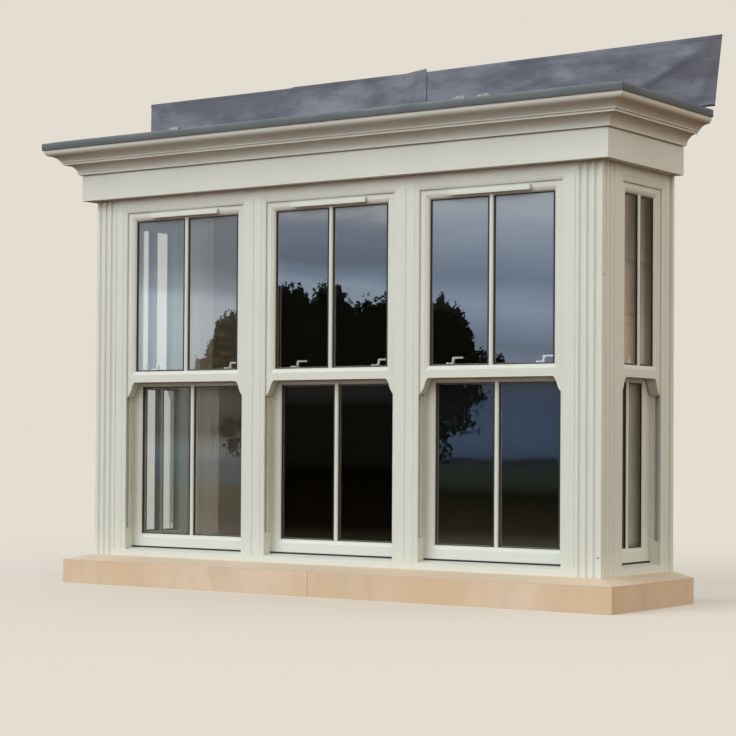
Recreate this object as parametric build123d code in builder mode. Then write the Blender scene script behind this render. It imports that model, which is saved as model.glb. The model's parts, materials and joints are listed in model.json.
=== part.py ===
from build123d import *
import os

# Square box bay with five vertical sliding sash windows, three in front and one in
# each return, between fluted corner posts, under a moulded cornice and a flat roof,
# on a weathered stone sill.
#
# Frame of the part: x runs along the front with 0 at the middle, y runs into the
# building with 0 at the outer face of the front frames, z is up with 0 at the
# underside of the stone sill.  Each window is modelled once in its own frame (x
# across, y inwards from the outer face, z up from the top of the stone) and is then
# set at its spot.

os.makedirs("parts", exist_ok=True)

# Bay: driving dimensions, in mm
window_width = 805.0        # one front window, joint to joint
projection = 606.0          # frame face to the back faces of the returns
trim_width = 23.0           # strip along the back edge of a return window
frame_height = 1640.0       # window frame, top of stone to top of head
stone_rise = 129.0          # underside of stone to underside of frame

# Window frame profile
frame_depth = 119.0         # as deep as the posts
jamb_face = 64.0            # outer face of a jamb, joint to opening
head_face = 70.0
track_depth = 14.0          # how far a sash is housed behind the outer nib
outer_nib = 11.0            # thickness of the nib in front of the outer track
track_rib = 5.0             # rib between the two tracks
rib_set_back = 4.0          # rib edge behind the opening edge
joint_bevel = 3.0           # arris of the frame beside a joint
face_mould = 22.0           # moulded width beside the opening
face_mould_depth = 5.0
face_mould_round = 44.0     # radius of that mould
channel_width = 17.0        # groove that houses a spring balance
channel_depth = 20.0
balance_depth = 14.0        # housing of a spring balance, across the channel
balance_width = 16.0
balance_play = 0.2
balance_top_gap = 6.0       # top of a housing below the head of the opening
balance_length = 760.0
sill_nose = 28.0            # height of the frame sill at its outer face
sill_seat = 37.0            # height under the lower sash
sill_upstand = 62.0         # height behind the lower sash
block_top = 128.0           # top of the stop block in the outer track

# Sashes
sash_thickness = 42.0
sash_play = 1.0             # each side of a sash in its track
sash_edge_play = 2.0        # sash edge to the bottom of the track
sash_seat_play = 0.4
stile_width = 55.0
top_rail = 54.0
meeting_line = 792.0        # underside of the upper meeting rail
upper_meeting_rail = 51.0
lower_sash_top = 841.0
lower_meeting_rail = 69.0
bottom_rail = 64.0
sash_mould = 18.0           # moulded width beside the glass
bead_depth = 16.0           # sash face to the glass
mould_round = 21.6          # radius of that mould
mould_quirk = 1.5
horn_drop = 68.0
horn_tip = 13.0
horn_waist = 0.58           # where the hollow of a horn meets its swell, along its width
horn_shoulder = 0.4         # the same place along its drop
horn_swell = 88.0           # radius below the waist
horn_hollow = 41.0          # radius above the waist
interlock_gap = 1.0         # between the fins that face each other across the meeting rails
interlock_thickness = 5.0
interlock_end_play = 4.0
bar_width = 22.0
bar_face = 9.0              # width of the flat on a glazing bar
bar_rise = 9.0              # how far a bar stands in front of the glass
bar_round = 12.6            # radius of the mould on a bar

# Sealed glass units
unit_thickness = 20.0
sheet_thickness = 4.0
spacer_width = 8.0
unit_play = 0.3
edge_cover = 12.0           # glass housed in the sash
groove_play = 2.0

# Sash fasteners, lifts and trickle vents
lock_set_in = 187.5         # joint of a front window to its fastener
lift_set_in = 232.5         # the same to its lift
side_lock_offset = 38.0     # fastener to the middle of a return window
lock_line = 19.0            # fastener pivot behind the lower sash face
lock_base_length = 76.0
lock_base_width = 22.0
lock_base_thickness = 4.0
lock_base_corner = 6.0
hub_radius = 8.5
hub_height = 8.0
pivot_radius = 3.0
pivot_reach = 6.0           # pivot above the foot of the lever
pivot_play = 0.05
lever_play = 0.3
cam_reach = 28.0
cam_width = 13.0
cam_thickness = 3.0
cam_lift = 2.5              # tongue above the foot of the lever, midway in its keep
handle_length = 52.0
handle_rise = 26.0
handle_width = 11.0
handle_thickness = 7.0
neck_foot = 5.5             # half width of the neck on the hub
neck_head = 1.8
handle_tip_corner = 2.0
keep_length = 34.0
keep_height = 12.0
keep_depth = 5.4
keep_wall = 2.0
lift_width = 64.0
lift_reach = 19.0
lift_height = 11.0
lift_round = 21.0
vent_length = 385.0
vent_height = 24.0
vent_reach = 14.0
vent_wall = 2.0
vent_front = 12.0           # upright part of the hood below its curve
vent_round = 22.4
vent_drop = 20.0            # top of the vent hood below the top of the upper sash

# Corner posts and the trims along the back
flute_pitch = 34.0
flute_first = 27.0          # outer corner to the middle of the first flute
flute_width = 20.0
flute_depth = 8.0
flute_count = 3
post_wall = 14.0
post_arris = 2.0
trim_proud = 12.0
trim_groove = 4.0

# Fascia, cornice and roof, heights above the top of the stone
fascia_cover = 5.0          # how far the fascia laps the head of the frames
fascia_height = 115.0
fascia_out = 50.0
fascia_board = 18.0
drip_lip = 7.0              # edge of the roof beyond the cornice
drip_height = 30.0
roof_skin = 4.0
cornice_seat = 50.0         # width of the cornice under the roof
kerb_run = 60.0             # sloped border of the roof
kerb_rise = 15.0
timber_depth = 110.0
timber_width = 130.0
joist_width = 45.0
joist_count = 6
ceiling_thickness = 13.0
board_thickness = 25.0

# Cornice mouldings, from the top of the fascia outwards and upwards
bed_recess = 4.0
bed_rise = 5.0
bed_lip = 17.0
bed_face = 3.0
cavetto_run = 45.0
cavetto_rise = 45.0
cavetto_round = 52.0
hook_drop = 3.0             # small drip behind the bead
hook_run = 5.0
hook_rise = 10.0
shelf_run = 7.0
shelf_rise = 4.0
gorge_run = 34.0
gorge_rise = 24.0
gorge_round = 48.0
nose_run = 22.0
nose_rise = 22.0
nose_round = 22.0
nose_face = 5.0

# Lead flashing along the back of the roof
lead = 3.0
lead_play = 0.2
flashing_left = 200.0       # beyond the frame face of the left return
flashing_right = 223.5      # at the hem; the right end is cut at a slant
flashing_right_foot = 190.0
flashing_height = 279.0
flashing_flap = 105.0
flashing_hem = 14.0
flashing_lap = 100.0
lap_left = -596.0           # places of the two laps along the front
lap_right = 55.0

# Stone sill
stone_out = 102.0
stone_in = 150.0
stone_fall = 23.0
stone_flat = 5.0            # flat margin in front of the frames
stone_joint = -21.0         # place of the joint along the front
joint_gap = 3.0
throat_width = 12.0
throat_set_in = 30.0
throat_round = 7.2

# Sizes that follow from those above
post_size = frame_depth
bay_width = 3 * window_width + 2 * post_size
half_bay = bay_width / 2
side_width = projection - post_size - trim_width
pocket_wall = jamb_face - track_depth
track = sash_thickness + 2 * sash_play
rib_start = outer_nib + track
inner_track = rib_start + track_rib
inner_nib_start = inner_track + track
upper_face = outer_nib + sash_play
lower_face = inner_track + sash_play
interlock_reach = (lower_face - upper_face - sash_thickness - interlock_gap) / 2
lock_offset = window_width / 2 - lock_set_in
lift_offset = window_width / 2 - lift_set_in
head_pocket = frame_height - head_face + track_depth
upper_top = head_pocket - sash_seat_play
lower_foot = sill_seat + sash_seat_play
glass_back = bead_depth + unit_thickness + 2 * unit_play
fascia_foot = frame_height - fascia_cover
fascia_top = fascia_foot + fascia_height
cornice_moves = [
    (fascia_board - bed_recess, 0), (0, bed_rise), (bed_lip, 0), (0, bed_face),
    (cavetto_run, cavetto_rise), (0, -hook_drop), (hook_run, 0), (0, hook_rise),
    (shelf_run, 0), (0, shelf_rise), (gorge_run, gorge_rise), (nose_run, nose_rise),
    (0, nose_face),
]
cornice_arcs = {5: cavetto_round, 11: gorge_round, 12: -nose_round}
cornice_back = fascia_out - fascia_board
cornice_out = cornice_back + sum(run for run, rise in cornice_moves)
cornice_top = fascia_top + sum(rise for run, rise in cornice_moves)
drip_out = cornice_out + drip_lip
timber_top = frame_height + timber_depth
roof_edge_top = cornice_top + drip_height
roof_top = roof_edge_top + kerb_rise
pivot_line = lower_face + lock_line
lever_foot = lower_sash_top + lock_base_thickness + lever_play
pivot_height = pivot_reach + lever_play
bore_depth = pivot_height + lever_play


def level(height):
    """Height above the top of the stone as a height of the part."""
    return stone_rise + height


def spot(x, y, facing=0):
    """Plane of a window whose outer face is at x, y, turned by facing degrees."""
    across = Vector(1, 0, 0).rotate(Axis.Z, facing)
    return Plane(origin=(x, y, stone_rise), x_dir=across, z_dir=(0, 0, 1))


def finish(piece, label):
    """Name a finished piece and write it out."""
    piece.part.label = label
    export_step(piece.part, f"parts/{label}.step")


def finish_at(piece, place, label):
    """Set a finished window piece at its place, name it and write it out."""
    with BuildPart(place) as placed:
        add(piece.part)
    finish(placed, label)


def member(x, z, run_x=0, run_z=0):
    """Plane across a member: its width runs along x or z, its depth along y."""
    width_dir = Vector(run_x, 0, run_z)
    return Plane(origin=(x, 0, z), x_dir=width_dir, z_dir=width_dir.cross(Vector(0, 1, 0)))


def frame_profile(face, channels):
    """Jamb or head section: width along local x, depth along local y."""
    flat = face - face_mould
    pocket = face - track_depth
    rib = face - rib_set_back
    with BuildSketch() as profile:
        with BuildLine():
            Polyline((0, frame_depth), (0, joint_bevel), (joint_bevel, 0), (flat, 0), (flat, mould_quirk))
            RadiusArc((flat, mould_quirk), (face, face_mould_depth), -face_mould_round)
            Polyline(
                (face, face_mould_depth), (face, outer_nib), (pocket, outer_nib),
                (pocket, rib_start), (rib, rib_start), (rib, inner_track), (pocket, inner_track),
                (pocket, inner_nib_start), (face, inner_nib_start), (face, frame_depth),
                (0, frame_depth),
            )
        make_face()
        if channels:
            for track_start in (outer_nib, inner_track):
                with Locations((pocket - channel_depth / 2, track_start + track / 2)):
                    Rectangle(channel_depth, channel_width, mode=Mode.SUBTRACT)
    return profile.sketch


def sill_height(y):
    """Height of the sloped top of the frame sill at a depth y."""
    return sill_nose + (sill_seat - sill_nose) * y / inner_track


def window_frame(width):
    """Outer frame: two jambs, head, sloped sill and the stop blocks of the outer track."""
    jamb_profile = frame_profile(jamb_face, channels=True)
    head_profile = frame_profile(head_face, channels=False)
    front, back = upper_face, upper_face + sash_thickness
    with BuildPart() as frame:
        with BuildSketch(member(-width / 2, 0, run_x=1)):
            add(jamb_profile)
        extrude(amount=frame_height)
        mirror(about=Plane.YZ)
        with BuildSketch(member(-width / 2, frame_height, run_z=-1)):
            add(head_profile)
        extrude(amount=width)
        with BuildSketch(Plane.YZ.offset(-width / 2)):
            with BuildLine():
                Polyline(
                    (0, 0), (0, sill_nose), (inner_track, sill_seat), (inner_nib_start, sill_seat),
                    (inner_nib_start, sill_upstand), (frame_depth, sill_upstand), (frame_depth, 0),
                    close=True,
                )
            make_face()
        extrude(amount=width)
        with BuildSketch(Plane.YZ.offset(-width / 2 + pocket_wall)):
            with BuildLine():
                Polyline(
                    (front, sill_height(front)), (front, block_top),
                    (back, block_top), (back, sill_height(back)), close=True,
                )
            make_face()
        stop_block = extrude(amount=track_depth - rib_set_back)
        mirror(stop_block, about=Plane.YZ)
    return frame


def sash_profile(width):
    """Stile or rail section: width from the outer edge, depth from the outer face."""
    flat = width - sash_mould
    groove = width - edge_cover - groove_play
    mould_foot = bead_depth - mould_quirk
    with BuildSketch() as profile:
        with BuildLine():
            Polyline((0, sash_thickness), (0, 0), (flat, 0), (flat, mould_quirk))
            RadiusArc((flat, mould_quirk), (width, mould_foot), -mould_round)
            Polyline(
                (width, mould_foot), (width, bead_depth), (groove, bead_depth),
                (groove, glass_back), (width, glass_back), (width, sash_thickness),
                (0, sash_thickness),
            )
        make_face()
    return profile.sketch


def bar_profile():
    """Glazing bar in plan: a moulded bar outside the glass and a bevelled one inside."""
    half, flat = bar_width / 2, bar_face / 2
    front = bead_depth - bar_rise
    foot = bead_depth - mould_quirk
    with BuildSketch() as profile:
        with BuildLine():
            Polyline((-half, foot), (-half, bead_depth), (half, bead_depth), (half, foot))
            RadiusArc((half, foot), (flat, front), bar_round)
            Line((flat, front), (-flat, front))
            RadiusArc((-flat, front), (-half, foot), bar_round)
        make_face()
        with BuildLine():
            Polyline(
                (-half, glass_back), (half, glass_back), (flat, sash_thickness),
                (-flat, sash_thickness), close=True,
            )
        make_face()
    return profile.sketch


def sash_frame(width, foot, top, foot_rail, head_rail):
    """Welded sash: two stiles, two rails and the glazing bar, outer face on y = 0."""
    stile = sash_profile(stile_width)
    head = sash_profile(head_rail)
    bottom = sash_profile(foot_rail)
    bar = bar_profile()
    bar_foot = foot + foot_rail - sash_mould
    bar_top = top - head_rail + sash_mould
    with BuildPart() as sash:
        with BuildSketch(member(-width / 2, foot, run_x=1)):
            add(stile)
        extrude(amount=top - foot)
        mirror(about=Plane.YZ)
        with BuildSketch(member(-width / 2, top, run_z=-1)):
            add(head)
        extrude(amount=width)
        with BuildSketch(member(width / 2, foot, run_z=1)):
            add(bottom)
        extrude(amount=width)
        with BuildSketch(Plane.XY.offset(bar_foot)):
            add(bar)
        extrude(amount=bar_top - bar_foot)
    return sash


def fin(width, first, last, low, high):
    """Strip along x between two depths and two heights."""
    with BuildPart() as strip:
        with BuildSketch(Plane.YZ.offset(-width / 2)):
            with BuildLine():
                Polyline((first, low), (last, low), (last, high), (first, high), close=True)
            make_face()
        extrude(amount=width)
    return strip


def sash_width(width):
    """Width of a sash in a frame of the given width."""
    return width - 2 * (pocket_wall + sash_edge_play)


def interlock_width(width):
    """Length of a meeting rail fin, which passes between the ribs of the jambs."""
    return width - 2 * (jamb_face - rib_set_back + interlock_end_play)


def horns(width):
    """Ogee ends of the stiles below the upper meeting rail."""
    edge = -width / 2
    inner = edge + stile_width
    tip = edge + horn_tip
    foot = meeting_line - horn_drop
    waist = (tip + horn_waist * (inner - tip), meeting_line - horn_shoulder * horn_drop)
    with BuildPart() as pair:
        with BuildSketch(Plane.XZ.offset(-sash_thickness)):
            with BuildLine():
                Polyline((inner, meeting_line), (edge, meeting_line), (edge, foot), (tip, foot))
                RadiusArc((tip, foot), waist, -horn_swell)
                RadiusArc(waist, (inner, meeting_line), horn_hollow)
            make_face()
        extrude(amount=sash_thickness)
        mirror(about=Plane.YZ)
    return pair


def upper_sash(width):
    """Outer sash with run-through horns and the inward fin of its meeting rail."""
    sash = sash_frame(sash_width(width), meeting_line, upper_top, upper_meeting_rail, top_rail)
    horn_pair = horns(sash_width(width))
    fin_foot = meeting_line + interlock_thickness
    interlock = fin(interlock_width(width), sash_thickness, sash_thickness + interlock_reach,
                    fin_foot, fin_foot + interlock_thickness)
    with BuildPart(Plane((0, upper_face, 0))) as upper:
        add(sash.part)
        add(horn_pair.part)
        add(interlock.part)
    return upper


def lower_sash(width):
    """Inner sash with the outward fin of its meeting rail."""
    sash = sash_frame(sash_width(width), lower_foot, lower_sash_top, bottom_rail, lower_meeting_rail)
    interlock = fin(interlock_width(width), -interlock_reach, 0,
                    lower_sash_top - interlock_thickness, lower_sash_top)
    with BuildPart(Plane((0, lower_face, 0))) as lower:
        add(sash.part)
        add(interlock.part)
    return lower


def glass_unit(width, face, foot, top):
    """Two sheets held apart by a spacer round their edges, sealed as one unit."""
    unit_width = sash_width(width) - 2 * (stile_width - edge_cover)
    unit_height = top - foot + 2 * edge_cover
    front = face + bead_depth + unit_play
    with BuildPart(Plane(origin=(0, front, foot - edge_cover))) as unit:
        Box(unit_width, unit_thickness, unit_height, align=(Align.CENTER, Align.MIN, Align.MIN))
        with Locations((0, sheet_thickness, spacer_width)):
            Box(unit_width - 2 * spacer_width, unit_thickness - 2 * sheet_thickness,
                unit_height - 2 * spacer_width,
                align=(Align.CENTER, Align.MIN, Align.MIN), mode=Mode.SUBTRACT)
    return unit


def fittings(locks, lifts):
    """Fastener bases with their pivots, and the lifts, all fixed to the lower sash."""
    back = lower_face + sash_thickness
    foot = lower_foot + bottom_rail / 2
    with BuildPart() as metal:
        for x in locks:
            with BuildSketch(Plane(origin=(x, pivot_line, lower_sash_top))):
                plate = Rectangle(lock_base_length, lock_base_width)
                chamfer(plate.vertices(), lock_base_corner)
            extrude(amount=lock_base_thickness)
            with BuildSketch(Plane(origin=(x, pivot_line, lever_foot - lever_play))):
                Circle(pivot_radius)
            extrude(amount=pivot_height)
        for x in lifts:
            with BuildSketch(Plane.YZ.offset(x - lift_width / 2)):
                with BuildLine():
                    Line((back, foot), (back, foot + lift_height))
                    Line((back, foot + lift_height), (back + lift_reach, foot + lift_height))
                    RadiusArc((back + lift_reach, foot + lift_height), (back, foot), lift_round)
                make_face()
            extrude(amount=lift_width)
    return metal


def lever(x):
    """Fastener lever: hub with a blind bore, cam tongue on the inner side, raised handle."""
    from_foot = (Align.CENTER, Align.CENTER, Align.MIN)
    neck_top = hub_height + handle_rise
    under = neck_top - handle_thickness
    with BuildPart(Plane(origin=(x, pivot_line, lever_foot))) as arm:
        Cylinder(hub_radius, hub_height, align=from_foot)
        with Locations((0, cam_reach / 2, cam_lift)):
            Box(cam_width, cam_reach, cam_thickness, align=from_foot)
        Cylinder(pivot_radius + pivot_play, bore_depth, align=from_foot, mode=Mode.SUBTRACT)
    with BuildPart() as whole:
        add(arm.part)
        with BuildSketch(Plane(origin=(x, pivot_line + handle_width / 2, lever_foot),
                               x_dir=(1, 0, 0), z_dir=(0, -1, 0))):
            with BuildLine():
                Polyline(
                    (-neck_foot, hub_height), (-neck_head, neck_top), (handle_length, neck_top),
                    (handle_length, under), (neck_foot + neck_head, under),
                    (neck_foot, hub_height), close=True,
                )
            make_face()
        handle = extrude(amount=handle_width)
        tip_edges = handle.edges().filter_by(Axis.Y).group_by(Axis.X)[-1]
        chamfer(tip_edges, handle_tip_corner)
    return whole


def keep(x):
    """Hooked keep on the inner bead of the upper meeting rail, open to the inside."""
    back = upper_face + glass_back
    foot = meeting_line + upper_meeting_rail
    with BuildPart() as hook:
        with BuildSketch(Plane.YZ.offset(x - keep_length / 2)):
            with BuildLine():
                Polyline(
                    (back, foot), (back + keep_depth, foot), (back + keep_depth, foot + keep_wall),
                    (back + keep_wall, foot + keep_wall),
                    (back + keep_wall, foot + keep_height - keep_wall),
                    (back + keep_depth, foot + keep_height - keep_wall),
                    (back + keep_depth, foot + keep_height), (back, foot + keep_height), close=True,
                )
            make_face()
        extrude(amount=keep_length)
    return hook


def vent():
    """Hood of a trickle vent on the top rail, open underneath."""
    top = upper_top - vent_drop
    foot = top - vent_height
    with BuildPart() as hood:
        with BuildSketch(Plane.YZ.offset(-vent_length / 2)):
            with BuildLine():
                Polyline((upper_face, top), (upper_face, foot), (upper_face - vent_reach, foot))
                Line((upper_face - vent_reach, foot), (upper_face - vent_reach, foot + vent_front))
                RadiusArc((upper_face - vent_reach, foot + vent_front), (upper_face, top), vent_round)
            make_face()
        extrude(amount=vent_length)
        with BuildSketch(Plane.YZ.offset(-vent_length / 2 + vent_wall)):
            with Locations((upper_face - vent_reach / 2, foot)):
                Rectangle(vent_reach - 2 * vent_wall, vent_height - vent_wall)
        extrude(amount=vent_length - 2 * vent_wall, mode=Mode.SUBTRACT)
    return hood


def run_round(section_points, arcs=()):
    """Sweep a section round the front and both returns of the bay.

    Points are (distance out from the frame face, height above the stone); arcs maps the
    index of a point to the radius of the arc that ends there."""
    start = Plane(origin=(-half_bay, projection, stone_rise), x_dir=(-1, 0, 0), z_dir=(0, 1, 0))
    with BuildPart() as moulding:
        with BuildSketch(start):
            with BuildLine():
                last = len(section_points) - 1
                for index, point in enumerate(section_points):
                    before = section_points[index - 1] if index else section_points[last]
                    if index in arcs:
                        RadiusArc(before, point, arcs[index])
                    else:
                        Line(before, point)
            make_face()
        with BuildLine() as route:
            Polyline(
                (-half_bay, projection, stone_rise), (-half_bay, 0, stone_rise),
                (half_bay, 0, stone_rise), (half_bay, projection, stone_rise),
            )
        sweep(path=route.line, transition=Transition.RIGHT)
    return moulding


def corner_post(side):
    """Hollow square post with flutes on its two outer faces; side is -1 or 1."""
    middle = half_bay - post_size / 2
    flute_radius = (flute_width**2 / 4 + flute_depth**2) / (2 * flute_depth)
    with BuildPart() as post:
        with BuildSketch(Plane.XY.offset(stone_rise)):
            with Locations((middle, post_size / 2)):
                Rectangle(post_size, post_size)
                Rectangle(post_size - 2 * post_wall, post_size - 2 * post_wall, mode=Mode.SUBTRACT)
            for index in range(flute_count):
                along = flute_first + index * flute_pitch
                with Locations(
                    (half_bay - along, flute_depth - flute_radius),
                    (half_bay - flute_depth + flute_radius, along),
                ):
                    Circle(flute_radius, mode=Mode.SUBTRACT)
        extrude(amount=frame_height)
        outer_arris = post.edges().filter_by(Axis.Z).sort_by_distance((half_bay, 0, stone_rise))[0]
        fillet(outer_arris, post_arris)
    if side > 0:
        return post
    with BuildPart() as mirrored:
        mirror(post.part, about=Plane.YZ)
    return mirrored


def wall_trims():
    """Grooved strips along the back edges of the return windows."""
    start = projection - trim_width
    outer = half_bay + trim_proud
    inner = half_bay - frame_depth
    with BuildPart() as trims:
        with BuildSketch(Plane.XY.offset(stone_rise)):
            with BuildLine():
                Polyline(
                    (inner, start), (half_bay, start), (outer - trim_groove, start),
                    (outer, start + trim_groove), (outer, start + trim_width / 2),
                    (outer - trim_groove, start + trim_width / 2 + trim_groove),
                    (outer - trim_groove, projection), (inner, projection), close=True,
                )
            make_face()
        extrude(amount=fascia_foot)
        mirror(about=Plane.YZ)
    return trims


def roof_form(skin):
    """Flat roof with a sloped kerb on three sides, set in by skin from its outer surface."""
    wide = bay_width + 2 * (drip_out - skin)
    deep = 2 * (projection + drip_out - skin)
    edge = level(roof_edge_top)
    with BuildPart() as roof:
        with BuildSketch(Plane((0, projection, level(cornice_top)))):
            Rectangle(wide, deep)
        extrude(amount=drip_height - skin)
        with BuildSketch(Plane((0, projection, edge - skin))):
            Rectangle(wide, deep)
        with BuildSketch(Plane((0, projection, edge - skin + kerb_rise))):
            Rectangle(wide - 2 * kerb_run, deep - 2 * kerb_run)
        loft()
        split(bisect_by=Plane.XZ.offset(-projection), keep=Keep.TOP)
    return roof


def roof_timbers():
    """Plate on the heads of the frames, ledger along the back and joists between them."""
    plate = run_round([(0, frame_height), (0, timber_top), (-timber_width, timber_top),
                       (-timber_width, frame_height)])
    pitch = (bay_width - joist_width) / (joist_count - 1)
    with BuildPart() as timbers:
        add(plate.part)
        with BuildSketch(Plane((0, projection / 2, level(timber_top)))):
            with GridLocations(pitch, 1, joist_count, 1):
                Rectangle(joist_width, projection)
        extrude(amount=cornice_top - timber_top)
        with BuildSketch(Plane((0, projection - joist_width / 2, level(frame_height)))):
            Rectangle(bay_width, joist_width)
        extrude(amount=cornice_top - frame_height)
    return timbers


def flashing_sheet(first, last, lift, last_foot=None):
    """One sheet of lead: hemmed upstand along the back and flap on the roof.

    Where the sheet ends short at its foot, last_foot is that end of the foot."""
    flap_end = half_bay + drip_out - kerb_run
    wall = projection - lift
    deck = level(roof_top) + lift
    top = deck + flashing_height
    with BuildPart() as sheet:
        with BuildSketch(Plane.YZ.offset(first)):
            with BuildLine():
                Polyline(
                    (wall, deck), (wall, top), (wall - 2 * lead, top),
                    (wall - 2 * lead, top - flashing_hem), (wall - lead, top - flashing_hem),
                    (wall - lead, deck), close=True,
                )
            make_face()
        extrude(amount=last - first)
        if last_foot is not None:
            with BuildSketch(Plane.XZ.offset(-wall)):
                with BuildLine():
                    Polyline((last, deck), (last, top), (last_foot, deck), close=True)
                make_face()
            extrude(amount=2 * lead, mode=Mode.SUBTRACT)
        low, high = max(first, -flap_end), min(last, flap_end)
        with BuildSketch(Plane.YZ.offset(low)):
            with BuildLine():
                Polyline(
                    (wall, deck), (wall, deck + lead), (wall - flashing_flap, deck + lead),
                    (wall - flashing_flap, deck), close=True,
                )
            make_face()
        extrude(amount=high - low)
    return sheet


def sill_stones():
    """Weathered stone with a throat under its nose, as left and right blocks."""
    nose = stone_out - throat_set_in
    ring = run_round([
        (stone_out, -stone_fall), (stone_out, -stone_rise), (nose, -stone_rise),
        (nose - throat_width, -stone_rise), (-stone_in, -stone_rise), (-stone_in, 0), (stone_flat, 0),
    ], arcs={3: -throat_round})
    blocks = []
    for side in (-1, 1):
        cut = Plane.YZ.offset(stone_joint + side * joint_gap / 2)
        with BuildPart() as block:
            add(ring.part)
            split(bisect_by=cut, keep=Keep.TOP if side > 0 else Keep.BOTTOM)
        blocks.append(block)
    return blocks


def balance_housings(width):
    """Closed spring balances in the channels of both jambs."""
    foot = frame_height - head_face - balance_top_gap - balance_length
    from_middle = width / 2 - pocket_wall + channel_depth - balance_depth / 2 - balance_play
    with BuildPart() as housings:
        for x in (-from_middle, from_middle):
            for track_start in (outer_nib, inner_track):
                with Locations((x, track_start + track / 2, foot)):
                    Box(balance_depth, balance_width, balance_length,
                        align=(Align.CENTER, Align.CENTER, Align.MIN))
    return housings


def window_pieces(width, locks, lifts):
    """All pieces of one window in its own frame, with their names."""
    pieces = {
        "frame": window_frame(width),
        "upper_sash": upper_sash(width),
        "lower_sash": lower_sash(width),
        "upper_glass": glass_unit(width, upper_face, meeting_line + upper_meeting_rail,
                                  upper_top - top_rail),
        "lower_glass": glass_unit(width, lower_face, lower_foot + bottom_rail,
                                  lower_sash_top - lower_meeting_rail),
        "fittings": fittings(locks, lifts),
    }
    keep_hooks = [keep(x) for x in locks]
    with BuildPart() as keeps:
        for hook in keep_hooks:
            add(hook.part)
    if len(locks) > 1:
        pieces["keeps"] = keeps
        pieces["lever_left"] = lever(locks[0])
        pieces["lever_right"] = lever(locks[1])
        pieces["vent"] = vent()
    else:
        pieces["keep"] = keeps
        pieces["lever"] = lever(locks[0])
    return pieces


return_y = post_size + side_width / 2
front_places = {
    "front_left": spot(-window_width, 0),
    "front_centre": spot(0, 0),
    "front_right": spot(window_width, 0),
}
side_places = {
    "side_left": spot(-half_bay, return_y, -90),
    "side_right": spot(half_bay, return_y, 90),
}
front_pieces = window_pieces(window_width, (-lock_offset, lock_offset), (-lift_offset, lift_offset))
side_pieces = window_pieces(side_width, (side_lock_offset,), (0,))
front_balances = balance_housings(window_width)
side_balances = balance_housings(side_width)

placed_balances = []
for places, pieces, housings in (
    (front_places, front_pieces, front_balances),
    (side_places, side_pieces, side_balances),
):
    for window, place in places.items():
        for part_name, piece in pieces.items():
            finish_at(piece, place, f"{window}_{part_name}")
        with BuildPart(place) as window_balances:
            add(housings.part)
        placed_balances.append(window_balances)
with BuildPart() as balances:
    for window_balances in placed_balances:
        add(window_balances.part)
finish(balances, "spring_balances")

finish(corner_post(-1), "corner_post_left")
finish(corner_post(1), "corner_post_right")
finish(wall_trims(), "wall_trims")

fascia = run_round([
    (fascia_out, fascia_foot), (fascia_out, fascia_top), (fascia_out - fascia_board, fascia_top),
    (fascia_out - fascia_board, fascia_foot + fascia_board), (0, fascia_foot + fascia_board),
    (0, fascia_foot),
])
finish(fascia, "fascia")

cornice_line = [(cornice_back, fascia_top)]
for run, rise in cornice_moves:
    out, height = cornice_line[-1]
    cornice_line.append((out + run, height + rise))
cornice_line.append((cornice_out - cornice_seat, cornice_top))
cornice = run_round(cornice_line, cornice_arcs)
finish(cornice, "cornice")

roof_outer = roof_form(0)
deck = roof_form(roof_skin)
with BuildPart() as roof_covering:
    add(roof_outer.part)
    add(deck.part, mode=Mode.SUBTRACT)
finish(roof_covering, "roof_covering")
finish(deck, "roof_deck")
finish(roof_timbers(), "roof_timbers")

inside_width = bay_width - 2 * frame_depth
inside_depth = projection - frame_depth
inside_middle = frame_depth + inside_depth / 2
with BuildPart() as ceiling_board:
    with BuildSketch(Plane((0, inside_middle, level(frame_height - ceiling_thickness)))):
        Rectangle(inside_width, inside_depth)
    extrude(amount=ceiling_thickness)
finish(ceiling_board, "ceiling_board")

with BuildPart() as window_board:
    with BuildSketch(Plane((0, inside_middle, level(0)))):
        Rectangle(inside_width, inside_depth)
    extrude(amount=board_thickness)
finish(window_board, "window_board")

half_lap = flashing_lap / 2
lead_sheets = [
    flashing_sheet(-half_bay - flashing_left, lap_left + half_lap, 0),
    flashing_sheet(lap_left - half_lap, lap_right + half_lap, lead + lead_play),
    flashing_sheet(
        lap_right - half_lap, half_bay + flashing_right, 0, half_bay + flashing_right_foot,
    ),
]
with BuildPart() as lead_flashing:
    for sheet in lead_sheets:
        add(sheet.part)
finish(lead_flashing, "lead_flashing")

stone_left, stone_right = sill_stones()
finish(stone_left, "sill_stone_left")
finish(stone_right, "sill_stone_right")
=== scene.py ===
import json

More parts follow.
